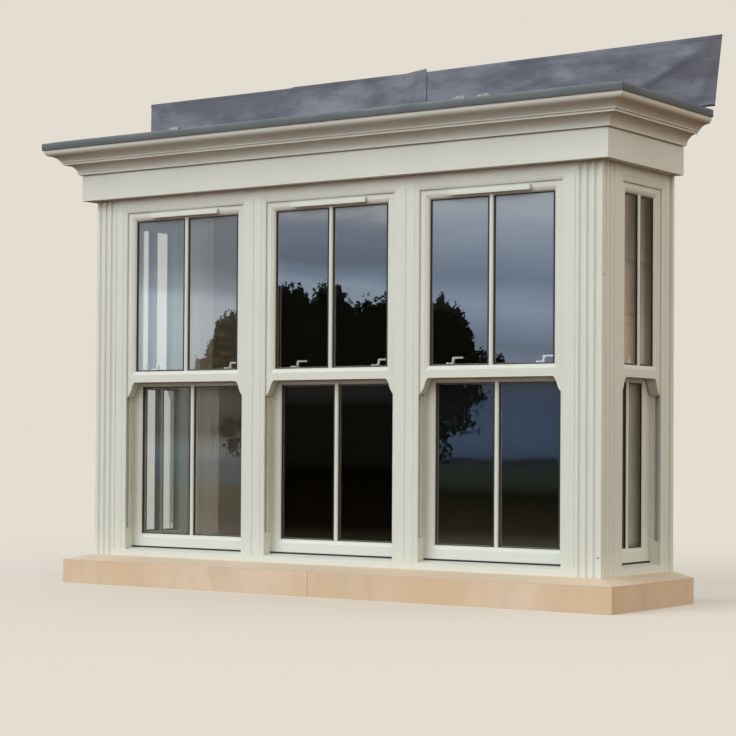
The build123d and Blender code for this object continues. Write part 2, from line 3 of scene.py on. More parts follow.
import bpy
import numpy as np
from mathutils import Matrix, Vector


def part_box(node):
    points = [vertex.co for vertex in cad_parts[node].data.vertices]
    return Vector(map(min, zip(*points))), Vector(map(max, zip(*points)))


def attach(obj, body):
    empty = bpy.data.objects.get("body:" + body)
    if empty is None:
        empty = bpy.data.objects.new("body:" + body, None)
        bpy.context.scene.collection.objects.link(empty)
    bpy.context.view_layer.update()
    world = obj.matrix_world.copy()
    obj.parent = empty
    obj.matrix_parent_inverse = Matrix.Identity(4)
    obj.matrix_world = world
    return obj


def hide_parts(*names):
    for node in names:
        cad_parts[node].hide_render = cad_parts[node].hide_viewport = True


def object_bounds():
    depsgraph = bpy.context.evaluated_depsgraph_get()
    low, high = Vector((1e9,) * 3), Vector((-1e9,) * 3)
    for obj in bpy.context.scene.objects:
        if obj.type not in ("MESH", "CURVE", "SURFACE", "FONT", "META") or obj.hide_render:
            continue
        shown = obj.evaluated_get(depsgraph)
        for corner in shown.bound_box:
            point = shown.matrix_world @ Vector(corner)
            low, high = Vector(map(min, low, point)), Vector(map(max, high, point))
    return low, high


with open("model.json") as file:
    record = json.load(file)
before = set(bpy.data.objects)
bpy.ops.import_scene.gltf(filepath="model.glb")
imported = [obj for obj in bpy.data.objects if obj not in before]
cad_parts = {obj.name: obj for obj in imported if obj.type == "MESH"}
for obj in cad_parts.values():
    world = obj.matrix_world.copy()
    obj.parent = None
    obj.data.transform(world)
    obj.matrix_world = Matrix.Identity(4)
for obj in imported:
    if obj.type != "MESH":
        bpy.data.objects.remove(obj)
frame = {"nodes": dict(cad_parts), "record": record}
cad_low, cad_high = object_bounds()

FRONT_WINDOWS = ("front_left", "front_centre", "front_right")
SIDE_WINDOWS = ("side_left", "side_right")

# Metres, unless a comment says otherwise
BAR_WIDTH = 0.022
GLASS_COVER = 0.012       # glass hidden in the sash on each side
UNIT_THICKNESS = 0.020    # sealed unit, both sheets and the gap
SEAM_INNER, SEAM_OUTER = 0.0030, 0.0036     # from the middle of the unit to its black seams
STONE_ARRIS = (0.100, 0.107)                # heights between which the stone turns greyer
GASKET_WIDTH, GASKET_END, GASKET_STAND = 0.0056, 0.0025, 0.0050
SPACER_WIDTH, SPACER_STAND = 0.0030, 0.0003
# Black strip of painted shade along the foot of each lower sash, where the gap under it shows dark
RAIL_SHADE_STRIP_HEIGHT, RAIL_SHADE_STRIP_STAND, RAIL_SHADE_STRIP_INSET, RAIL_SHADE_STRIP_SINK = 0.0065, 0.0015, 0.004, 0.004
LEAD_THICK, LEAD_HEIGHT, LEAD_FLAP, LEAD_HEM, LEAD_BEND = 0.003, 0.279, 0.105, 0.014, 0.010
LEAD_STEP = 0.011         # width of one column of the dressed sheet
LEAD_SLANT = 0.0335       # by which the right end is shorter at its foot
LEAD_RISE = 0.012         # of the top, towards the right end
LEAD_LIFT = 0.0032        # of the middle sheet over its neighbours
LEAD_RUN = 0.060          # from the ends of the roof to the ends of the flap
LAP_LEFT, LAP_RIGHT, HALF_LAP = -0.596, 0.055, 0.050
CLIP_PLACES = (-0.725, 0.765, 0.885)
# Plate and raised tongue of a clip, as boxes from its place on the drip edge
CLIP_BOXES = np.array([[(-0.030, 0.012, -0.014), (0.030, 0.036, -0.004)],
                       [(-0.018, 0.016, -0.004), (0.022, 0.032, 0.0)]])
MORTAR_SINK, MORTAR_NOSE_SINK = 0.001, 0.0015     # inside the faces of the stone
MORTAR_BACK = 0.10
SLOPE_START, SLOPE_FALL = -0.006, 0.0245          # of the top of the stone towards its nose
# Fixing holes are drawn as black discs of painted shade
HOLE_RADIUS, HOLE_STAND, HOLE_SIDES = 0.003, 0.0004, 16
FLOOR_REACH, FLOOR_DROP = 40.0, 0.0005
PANEL_HALF, PANEL_LOW, PANEL_HIGH, PANEL_GAP = 1.25, 0.13, 1.80, 0.02
FOCAL_PIXELS, FRAME_PIXELS, HORIZON_ROW = 2039.6, 736, 408.356
EYE_PLACE = (5.1385, -7.0274, 0.6495)
EYE_TURN = (35.012, 0.98, 0.359)      # yaw, pitch and roll in degrees
LAMP_DISTANCE = 6.0

# Shares and brightness, 0 to 1
FRONT_LIGHT = (0.90, 0.885, 0.85)     # brightness at which a front-facing colour shows
RETURN_LIGHT = (0.60, 0.54, 0.49)     # the same on the returns
RETURN_SHARE = 0.90       # of the return glass that its reflection covers
CLEAR_SHARE = 0.02        # of a clear face that still shows
CLOUD_SLOPE = 0.11        # lift of the cloud bands along the front


# Wiring of shader nodes

def put(tree, kind, inputs=None, **settings):
    """Add a node, set its properties, and fill or link its inputs by name or number."""
    node = tree.nodes.new(kind)
    for key, value in settings.items():
        setattr(node, key, value)
    for key, value in (inputs or {}).items():
        if isinstance(value, bpy.types.NodeSocket):
            tree.links.new(value, node.inputs[key])
        else:
            node.inputs[key].default_value = value
    return node


def colour(red, green, blue):
    """sRGB bytes as a linear shader colour."""
    parts = np.array([red, green, blue]) / 255
    linear = np.where(parts <= 0.04045, parts / 12.92, ((parts + 0.055) / 1.055) ** 2.4)
    return (*linear.tolist(), 1.0)


def group(name, inputs, outputs):
    """Empty node group with named sockets, and its input and output nodes."""
    tree = bpy.data.node_groups.new(name, "ShaderNodeTree")
    for socket, kind, value in inputs:
        made = tree.interface.new_socket(name=socket, in_out="INPUT", socket_type=kind)
        made.default_value = value
    for socket, kind in outputs:
        tree.interface.new_socket(name=socket, in_out="OUTPUT", socket_type=kind)
    return tree, tree.nodes.new("NodeGroupInput"), tree.nodes.new("NodeGroupOutput")


def calc(tree, operation, first, second=0.0, third=0.0, clamp=False):
    """Output of one step of arithmetic."""
    return put(tree, "ShaderNodeMath", {0: first, 1: second, 2: third},
               operation=operation, use_clamp=clamp).outputs[0]


def stretched(tree, scale):
    """Object coordinates scaled per axis, so that a pattern stretches along one of them."""
    place = put(tree, "ShaderNodeTexCoord").outputs["Object"]
    return put(tree, "ShaderNodeMapping", {"Vector": place, "Scale": scale}).outputs[0]


def coordinate(tree, number):
    """Object coordinate along x, y or z, by its number."""
    place = put(tree, "ShaderNodeTexCoord").outputs["Object"]
    return put(tree, "ShaderNodeSeparateXYZ", {0: place}).outputs[number]


def noise(tree, vector, scale, detail=3.0, roughness=0.5):
    """Noise value between 0 and 1."""
    return put(tree, "ShaderNodeTexNoise",
               {"Vector": vector, "Scale": scale, "Detail": detail, "Roughness": roughness}).outputs[0]


def band(tree, value, low, high, to_low=0.0, to_high=1.0):
    """Value mapped smoothly from low..high to to_low..to_high."""
    return put(tree, "ShaderNodeMapRange",
               {"Value": value, "From Min": low, "From Max": high, "To Min": to_low, "To Max": to_high},
               interpolation_type="SMOOTHSTEP").outputs[0]


def blended(tree, factor, first, second, mode="MIX"):
    """Two colours mixed by a factor."""
    return put(tree, "ShaderNodeMix", {0: factor, 6: first, 7: second},
               data_type="RGBA", blend_type=mode).outputs[2]


def bumped(tree, height, distance, strength=1.0):
    """Normal from a height that changes over the surface, distance in metres."""
    return put(tree, "ShaderNodeBump",
               {"Height": height, "Distance": distance, "Strength": strength}).outputs[0]


# Effects shared by several materials

def weathering_group():
    """Rain streaks and soft patches: a mask from 0 to 1 that is strongest in long upright
    runs, from noise stretched along the height times broad noise."""
    tree, given, result = group("weathering", [("Amount", "NodeSocketFloat", 1.0)],
                                [("Mask", "NodeSocketFloat"), ("Patches", "NodeSocketFloat")])
    runs = noise(tree, stretched(tree, (1, 1, 0.05)), 26.0, 4.0, 0.6)
    broad = noise(tree, stretched(tree, (1, 1, 1)), 2.6, 3.0, 0.55)
    mask = calc(tree, "MULTIPLY", band(tree, runs, 0.42, 0.72), band(tree, broad, 0.35, 0.7))
    tree.links.new(calc(tree, "MULTIPLY", mask, given.outputs["Amount"]), result.inputs["Mask"])
    tree.links.new(broad, result.inputs["Patches"])
    return tree


def grain_group():
    """Fine skin of a moulded or painted surface: faint long grain along the height with
    a finer peel, as a height from 0 to 1."""
    tree, given, result = group("fine_grain", [("Scale", "NodeSocketFloat", 1.0)],
                                [("Height", "NodeSocketFloat")])
    size = put(tree, "ShaderNodeVectorMath", {0: stretched(tree, (1, 1, 0.06))}, operation="SCALE")
    tree.links.new(given.outputs["Scale"], size.inputs["Scale"])
    long_grain = noise(tree, size.outputs[0], 420.0, 2.0)
    peel = noise(tree, stretched(tree, (1, 1, 1)), 700.0, 1.0)
    tree.links.new(calc(tree, "MULTIPLY_ADD", long_grain, 0.6, calc(tree, "MULTIPLY", peel, 0.4)),
                   result.inputs["Height"])
    return tree


def mottle_group():
    """Clouded patina of bare metal: broad clouds broken by small blotches, as a mask and
    a height."""
    tree, given, result = group("mottle", [("Scale", "NodeSocketFloat", 6.0)],
                                [("Mask", "NodeSocketFloat"), ("Height", "NodeSocketFloat")])
    place = stretched(tree, (1, 1, 1))
    clouds = put(tree, "ShaderNodeTexNoise",
                 {"Vector": place, "Detail": 5.0, "Roughness": 0.62, "Distortion": 0.6})
    tree.links.new(given.outputs["Scale"], clouds.inputs["Scale"])
    blotches = noise(tree, place, 60.0, 3.0, 0.6)
    mixed = calc(tree, "MULTIPLY_ADD", blotches, 0.3, calc(tree, "MULTIPLY", clouds.outputs[0], 0.7))
    tree.links.new(band(tree, mixed, 0.36, 0.66), result.inputs["Mask"])
    tree.links.new(mixed, result.inputs["Height"])
    return tree


def place_group(tree, effect, **inputs):
    """One use of a shared effect."""
    node = tree.nodes.new("ShaderNodeGroup")
    node.node_tree = effect
    for key, value in inputs.items():
        node.inputs[key].default_value = value
    return node


# Materials

def material(name):
    """New material with its shader, ready for its pattern."""
    made = bpy.data.materials.new(name)
    made.use_nodes = True
    return made, made.node_tree, made.node_tree.nodes["Principled BSDF"]


def painted(name, base, dirt, roughness=0.42, grain=1.0, streaks=0.10, relief=0.00004):
    """Satin paint or moulded plastic: base colour that greys along the runs of rain, with
    a fine grain in its gloss."""
    made, tree, shader = material(name)
    wear = place_group(tree, WEATHERING, Amount=streaks)
    skin = place_group(tree, GRAIN, Scale=grain)
    tone = blended(tree, band(tree, wear.outputs["Patches"], 0.3, 0.75, 0.0, 0.06), base, dirt)
    tree.links.new(blended(tree, wear.outputs["Mask"], tone, dirt), shader.inputs["Base Color"])
    tree.links.new(band(tree, wear.outputs["Patches"], 0.3, 0.7, roughness - 0.05, roughness + 0.08),
                   shader.inputs["Roughness"])
    tree.links.new(bumped(tree, skin.outputs["Height"], relief), shader.inputs["Normal"])
    shader.inputs["IOR"].default_value = 1.46
    return made


def sawn_stone():
    """Sawn sandstone: soft warm patches, faint specks and fine upright saw marks that catch the light on
    every cut face, turning greyer along the top."""
    made, tree, shader = material("sawn_stone")
    place = stretched(tree, (1, 1, 1))
    patches = noise(tree, place, 2.4, 3.0, 0.5)
    drift = noise(tree, stretched(tree, (1, 1, 0.5)), 9.0, 3.0, 0.5)
    marks = noise(tree, stretched(tree, (1, 1, 0.03)), 240.0, 2.0, 0.5)
    specks = noise(tree, place, 380.0, 2.0, 0.6)
    warm = blended(tree, band(tree, patches, 0.36, 0.66), STONE_PALE, STONE_WARM)
    worn = blended(tree, band(tree, drift, 0.50, 0.74, 0.0, 0.5), warm, STONE_GREY)
    sawn = blended(tree, band(tree, marks, 0.42, 0.68, 0.0, 0.10), worn, STONE_MARK)
    grit = blended(tree, band(tree, specks, 0.60, 0.78, 0.0, 0.16), sawn, STONE_MARK)
    arris = blended(tree, band(tree, coordinate(tree, 2), *STONE_ARRIS, 0.0, 0.75), grit, STONE_EDGE)
    tree.links.new(arris, shader.inputs["Base Color"])
    relief = calc(tree, "MULTIPLY_ADD", marks, 0.6, calc(tree, "MULTIPLY", specks, 0.4))
    tree.links.new(bumped(tree, relief, 0.0002, 0.5), shader.inputs["Normal"])
    tree.links.new(band(tree, drift, 0.3, 0.7, 0.82, 0.95), shader.inputs["Roughness"])
    return made


def dull_solid(name, light, dark, roughness, relief, scale):
    """Clouded dull metal or mortar, matt where it is darker."""
    made, tree, shader = material(name)
    patina = place_group(tree, MOTTLE, Scale=scale)
    wear = place_group(tree, WEATHERING, Amount=0.4)
    tone = blended(tree, patina.outputs["Mask"], dark, light)
    tree.links.new(blended(tree, wear.outputs["Mask"], tone, dark), shader.inputs["Base Color"])
    tree.links.new(band(tree, patina.outputs["Height"], 0.35, 0.65, roughness + 0.1, roughness - 0.08),
                   shader.inputs["Roughness"])
    tree.links.new(bumped(tree, patina.outputs["Height"], relief), shader.inputs["Normal"])
    return made


def roof_covering_skin():
    """Weathered skin of the roof: clouded grey, with a painted highlight on the rolled top of its edge and
    painted shade making it darker towards the drip."""
    made, tree, shader = material("roof_skin")
    patina = place_group(tree, MOTTLE, Scale=5.0)
    wear = place_group(tree, WEATHERING, Amount=0.3)
    # Painted highlight on the rolled top of the edge and painted shade below it, by height
    tone = ramp(tree, coordinate(tree, 2), ROOF_EDGE_HIGHLIGHT_AND_SHADE)
    tone = blended(tree, band(tree, patina.outputs["Mask"], 0.0, 1.0, 0.35, 0.0), tone, ROOF_CLOUD)
    tree.links.new(blended(tree, wear.outputs["Mask"], tone, ROOF_STREAK), shader.inputs["Base Color"])
    tree.links.new(band(tree, patina.outputs["Height"], 0.35, 0.65, 0.55, 0.4), shader.inputs["Roughness"])
    tree.links.new(bumped(tree, patina.outputs["Height"], 0.0004), shader.inputs["Normal"])
    return made


def sheet_lead():
    """Dull sheet lead: long level drifts of patina, broken by small stains, darker to the right and with a
    few bluish bright places."""
    made, tree, shader = material("sheet_lead")
    drifts = noise(tree, stretched(tree, (1, 1, 2.6)), 4.2, 5.0, 0.55)
    stains = noise(tree, stretched(tree, (1, 1, 1.6)), 22.0, 4.0, 0.6)
    bright_places = noise(tree, stretched(tree, (1, 1, 3.0)), 9.0, 3.0, 0.5)
    along = coordinate(tree, 0)
    tone = blended(tree, band(tree, drifts, 0.34, 0.68), LEAD_DARK, LEAD_LIGHT)
    tone = blended(tree, band(tree, stains, 0.52, 0.76, 0.0, 0.5), tone, LEAD_STAIN)
    tone = blended(tree, band(tree, bright_places, 0.56, 0.80, 0.0, 0.45), tone, LEAD_BRIGHT)
    tone = blended(tree, band(tree, along, 0.4, 1.6, 0.0, 0.45), tone, LEAD_STAIN)
    tree.links.new(tone, shader.inputs["Base Color"])
    tree.links.new(band(tree, drifts, 0.35, 0.65, 0.62, 0.46), shader.inputs["Roughness"])
    tree.links.new(bumped(tree, stains, 0.0008, 0.6), shader.inputs["Normal"])
    shader.inputs["Metallic"].default_value = 0.2
    return made


def polished_chrome():
    """Plated metal with faint wiping marks in its gloss."""
    made, tree, shader = material("polished_chrome")
    wiping = noise(tree, stretched(tree, (1, 1, 6)), 160.0, 3.0)
    tone = blended(tree, band(tree, wiping, 0.4, 0.7), CHROME_BRIGHT, CHROME_WIPED)
    tree.links.new(tone, shader.inputs["Base Color"])
    tree.links.new(band(tree, wiping, 0.35, 0.7, 0.18, 0.32), shader.inputs["Roughness"])
    shader.inputs["Metallic"].default_value = 0.8
    return made


def sawn_timber(name, light, dark, grain_scale):
    """Softwood or board: wavy grain lines along the length with knots of darker growth."""
    made, tree, shader = material(name)
    growth = noise(tree, stretched(tree, grain_scale), 40.0, 5.0, 0.65)
    knots = noise(tree, stretched(tree, (1, 1, 1)), 7.0, 2.0)
    tone = blended(tree, band(tree, growth, 0.35, 0.65), light, dark)
    tone = blended(tree, band(tree, knots, 0.66, 0.8, 0.0, 0.5), tone, dark)
    tree.links.new(tone, shader.inputs["Base Color"])
    tree.links.new(bumped(tree, growth, 0.0004), shader.inputs["Normal"])
    tree.links.new(band(tree, knots, 0.3, 0.7, 0.6, 0.75), shader.inputs["Roughness"])
    return made


def black_seal_and_shade():
    """Rubber of the gaskets, near black with a dusty bloom; the same black is also the painted shade of the
    fixing holes and of the gap under each lower sash.
    """
    made, tree, shader = material("black_seal_and_shade")
    bloom = noise(tree, stretched(tree, (1, 1, 1)), 90.0, 4.0, 0.6)
    tone = blended(tree, band(tree, bloom, 0.45, 0.8), SEAL_BLACK, SEAL_BLOOM)
    tree.links.new(tone, shader.inputs["Base Color"])
    tree.links.new(band(tree, bloom, 0.3, 0.7, 0.5, 0.7), shader.inputs["Roughness"])
    return made


def ramp(tree, value, stops):
    """Colour that runs through stops of (value, colour), in rising order."""
    low, high = stops[0][0], stops[-1][0]
    share = put(tree, "ShaderNodeMapRange", {"Value": value, "From Min": low, "From Max": high}).outputs[0]
    node = put(tree, "ShaderNodeValToRGB", {"Fac": share})
    points = node.color_ramp.elements
    points[0].color, points[-1].color = stops[0][1], stops[-1][1]
    for place, tint in stops[1:-1]:
        points.new((place - low) / (high - low)).color = tint
    return node.outputs[0]


def mirrored(red, green, blue, share, lit=FRONT_LIGHT):
    """Paint that looks like the given sRGB bytes when it covers only a share of the glass
    and is lit at the given brightness."""
    linear = np.array(colour(red, green, blue)[:3]) / (share * np.array(lit))
    return (*np.minimum(linear, 1.0).tolist(), 1.0)


def leaf_edge(tree, place, depth):
    """Ragged offset of a leafy outline, up to about depth metres each way: soft lumps of
    boughs, noise of a low scale, and on them clusters and single leaves, rougher noise of
    higher scales."""
    boughs = calc(tree, "SUBTRACT", noise(tree, place, 13.0, 1.0, 0.4), 0.5)
    clusters = calc(tree, "SUBTRACT", noise(tree, place, 40.0, 2.0, 0.6), 0.5)
    leaves = calc(tree, "SUBTRACT", noise(tree, place, 110.0, 2.0, 0.6), 0.5)
    both = calc(tree, "MULTIPLY_ADD", clusters, 2.4, calc(tree, "MULTIPLY_ADD", leaves, 1.5, boughs))
    return calc(tree, "MULTIPLY", both, 3.2 * depth)


def under_line(tree, axes, line):
    """Depth below a tree line that runs straight between (x, height) points."""
    height = ramp(tree, axes[0], [(x, (z / 2, z / 2, z / 2, 1.0)) for x, z in line])
    return calc(tree, "SUBTRACT", calc(tree, "MULTIPLY", height, 2.0), axes[2])


def within_lobes(tree, axes, lobes):
    """Depth inside the union of ellipses (x, height, half width, half height)."""
    deepest = None
    for x, z, half_width, half_height in lobes:
        far = calc(tree, "DIVIDE", calc(tree, "SUBTRACT", axes[0], x), half_width)
        high = calc(tree, "DIVIDE", calc(tree, "SUBTRACT", axes[2], z), half_height)
        length = calc(tree, "SQRT", calc(tree, "ADD", calc(tree, "MULTIPLY", far, far),
                                         calc(tree, "MULTIPLY", high, high)))
        depth = calc(tree, "MULTIPLY", calc(tree, "SUBTRACT", 1.0, length), min(half_width, half_height))
        deepest = depth if deepest is None else calc(tree, "MAXIMUM", deepest, depth)
    return deepest


def landscape(stops, share, line=None, lobes=None, leaf=((2, 2, 0), (15, 15, 7)), leaf_share=0.55,
              drift=0.10, veil=None, hills=None, shade=None):
    """Reflection in the front glass: sky and ground banded over the height and drifting
    with soft clouds, and leafy crowns before it, with light gaps near their edge.  A veil
    is what shows palely through the glass up to an edge along the front, hills are the
    dark rim of the ground, and a shade, three linear factors, darkens the glass up to an
    edge.  It gives the paint and the share of the glass that the reflection covers."""
    def reflection(tree, axes, place):
        level = axes[2]
        if drift > 0:
            clouds = noise(tree, stretched(tree, (1.2, 1.0, 4.4)), 2.2, 4.0, 0.55)
            level = calc(tree, "MULTIPLY_ADD", calc(tree, "SUBTRACT", clouds, 0.5), drift, level)
            level = calc(tree, "MULTIPLY_ADD", axes[0], CLOUD_SLOPE, level)
        paint = ramp(tree, level, [(height, mirrored(*tint, share)) for height, *tint in stops])
        cover = share
        if hills:
            rim = calc(tree, "ADD", under_line(tree, axes, hills), leaf_edge(tree, place, 0.004))
            rim = calc(tree, "MULTIPLY", band(tree, rim, 0.0, 0.006), band(tree, axes[2], 0.545, 0.57))
            paint = blended(tree, calc(tree, "MULTIPLY", rim, 0.7), paint, mirrored(*RIM_TINT, share))
        if line or lobes:
            inside = under_line(tree, axes, line) if line else within_lobes(tree, axes, lobes)
            ragged = calc(tree, "ADD", inside, leaf_edge(tree, place, 0.017))
            crown = band(tree, ragged, 0.0, 0.008)
            gaps = band(tree, noise(tree, place, 70.0, 4.0, 0.7), 0.58, 0.66)
            near = band(tree, ragged, 0.004, 0.05, 0.75, 0.0)
            leafy = calc(tree, "SUBTRACT", 1.0, calc(tree, "MULTIPLY", gaps, near))
            crown = calc(tree, "MULTIPLY", crown, leafy)
            tufts = band(tree, noise(tree, place, 34.0, 4.0, 0.65), 0.5, 0.75)
            dark, light = (mirrored(*tint, leaf_share) for tint in leaf)
            leaves = blended(tree, tufts, dark, light)
            paint = blended(tree, crown, paint, leaves)
            cover = calc(tree, "MULTIPLY_ADD", crown, leaf_share - share, cover)
        if veil:
            edge, *tint = veil
            shown = band(tree, axes[0], edge + 0.003, edge - 0.003)
            runs = noise(tree, stretched(tree, (1, 1, 0.01)), 46.0, 2.0, 0.5)
            shown = calc(tree, "MULTIPLY", shown, band(tree, runs, 0.3, 0.7, 0.7, 1.2))
            paint = blended(tree, shown, paint, mirrored(*tint, share), "ADD")
        if shade:
            edge, *tint = shade
            dimmed = band(tree, axes[0], edge + 0.004, edge - 0.004)
            paint = blended(tree, dimmed, paint, (*tint, 1.0), "MULTIPLY")
        return paint, cover
    return reflection


def stone_shades(tones, lift):
    """Reflection in the return glass: a ramp of tones across the panes, from the near edge
    of each to its far edge, lifted towards the foot, with faint level joints."""
    def reflection(tree, axes, place):
        stops = [(y, mirrored(*tint, RETURN_SHARE, RETURN_LIGHT)) for y, *tint in tones]
        tone = ramp(tree, axes[1], stops)
        courses = noise(tree, stretched(tree, (0.4, 0.4, 5.0)), 2.2, 2.0, 0.5)
        blocks = noise(tree, stretched(tree, (2.0, 2.0, 1.0)), 3.0, 3.0, 0.55)
        light = calc(tree, "MULTIPLY", band(tree, axes[2], 1.62, 1.02, 1.0, lift),
                     band(tree, blocks, 0.3, 0.7, 0.82, 1.18))
        light = calc(tree, "MULTIPLY", light, band(tree, courses, 0.60, 0.66, 1.0, 0.72))
        scaled = put(tree, "ShaderNodeVectorMath", {0: tone}, operation="SCALE")
        tree.links.new(light, scaled.inputs["Scale"])
        return scaled.outputs[0], RETURN_SHARE
    return reflection


def sealed_glass(name, depth_axis, face, reflection):
    """Sealed unit of two sheets.  The outer face, at the given depth, carries the
    reflection over what shows through it; from inside and on the other faces the sheets
    are clear.  The spacer round the edge, where the surface turns away from the depth
    axis, is grey between two black seams."""
    made, tree, shader = material(name)
    place = put(tree, "ShaderNodeTexCoord")
    axes = put(tree, "ShaderNodeSeparateXYZ", {0: place.outputs["Object"]}).outputs
    facing = put(tree, "ShaderNodeSeparateXYZ", {0: place.outputs["Normal"]}).outputs
    depth = calc(tree, "ABSOLUTE", calc(tree, "SUBTRACT", axes[depth_axis], face))
    behind = put(tree, "ShaderNodeNewGeometry").outputs["Backfacing"]
    outer = calc(tree, "MULTIPLY", calc(tree, "LESS_THAN", depth, 0.001),
                 calc(tree, "SUBTRACT", 1.0, behind))
    edge = calc(tree, "LESS_THAN", calc(tree, "ABSOLUTE", facing[depth_axis]), 0.5)
    paint, share = reflection(tree, axes, place.outputs["Object"])
    middle = calc(tree, "ABSOLUTE", calc(tree, "SUBTRACT", depth, UNIT_THICKNESS / 2))
    seam = band(tree, middle, SEAM_INNER, SEAM_OUTER)
    spacer = blended(tree, seam, UNIT_SPACER, UNIT_SEAM)
    tree.links.new(blended(tree, edge, paint, spacer), shader.inputs["Base Color"])
    cover = calc(tree, "MAXIMUM", calc(tree, "MULTIPLY", outer, share), CLEAR_SHARE)
    tree.links.new(calc(tree, "MAXIMUM", cover, edge), shader.inputs["Alpha"])
    shader.inputs["Roughness"].default_value = 0.03
    shader.inputs["IOR"].default_value = 1.12
    return made


WEATHERING = weathering_group()
GRAIN = grain_group()
MOTTLE = mottle_group()

CREAM = colour(221, 226, 217)
CREAM_DIRT = colour(186, 184, 172)
STONE_PALE = colour(234, 213, 186)
STONE_WARM = colour(226, 200, 166)
STONE_GREY = colour(210, 193, 168)
STONE_MARK = colour(198, 170, 136)
STONE_EDGE = colour(208, 192, 172)
CHROME_BRIGHT = colour(240, 241, 242)
CHROME_WIPED = colour(206, 208, 210)
SEAL_BLACK = colour(20, 20, 18)
SEAL_BLOOM = colour(48, 46, 42)
UNIT_SEAM = colour(12, 12, 10)
UNIT_SPACER = colour(126, 126, 120)
RIM_TINT = (22, 28, 34)
INSIDE_DARK = colour(14, 13, 11)
FLOOR_SEEN = colour(217, 209, 197)
FLOOR_GLOW = colour(224, 216, 203)
FLOOR_BOUNCE = colour(92, 53, 12)
BACKDROP = colour(228, 221, 209)
AIR_LIGHT = (0.635, 0.69, 0.745, 1.0)
LEAD_LIGHT = colour(108, 114, 129)
LEAD_DARK = colour(87, 92, 106)
LEAD_STAIN = colour(72, 73, 82)
LEAD_BRIGHT = colour(118, 136, 152)
ROOF_CLOUD = colour(72, 82, 84)
ROOF_STREAK = colour(66, 74, 76)
# Painted highlight and shade of the rolled drip edge, by height
ROOF_EDGE_HIGHLIGHT_AND_SHADE = [(1.994, colour(46, 52, 54)), (2.001, colour(64, 75, 82)),
                   (2.012, colour(76, 90, 99)), (2.0225, colour(108, 124, 133)),
                   (2.026, colour(84, 94, 100))]

finishes = {
    "window_cream": painted("window_cream", CREAM, CREAM_DIRT),
    "painted_timber": painted("painted_timber", CREAM, CREAM_DIRT, roughness=0.48, grain=0.6),
    "board_cream": painted("board_cream", colour(222, 220, 210), CREAM_DIRT, roughness=0.4),
    "timber": sawn_timber("rafter_timber", colour(206, 170, 120), colour(168, 124, 78), (0.15, 0.15, 1)),
    "sheathing": sawn_timber("roof_board", colour(204, 172, 128), colour(176, 138, 92), (0.3, 1, 1)),
    "plaster": painted("ceiling_plaster", colour(230, 228, 220), colour(206, 202, 190), roughness=0.85),
    "chrome": polished_chrome(),
    "balance_tube": painted("balance_housing", colour(226, 226, 222), colour(190, 188, 180),
                            roughness=0.35),
    "roof_skin": roof_covering_skin(),
    "lead": sheet_lead(),
    "clip": dull_solid("clip_metal", colour(176, 180, 178), colour(120, 124, 122), 0.45, 0.0002, 30.0),
    "mortar": dull_solid("joint_mortar", colour(206, 184, 154), colour(178, 154, 122), 0.9, 0.0003, 40.0),
    "spacer": dull_solid("spacer_bar", colour(120, 120, 112), colour(96, 96, 88), 0.5, 0.0001, 30.0),
    "stone": sawn_stone(),
    "seal_and_shade": black_seal_and_shade(),
}

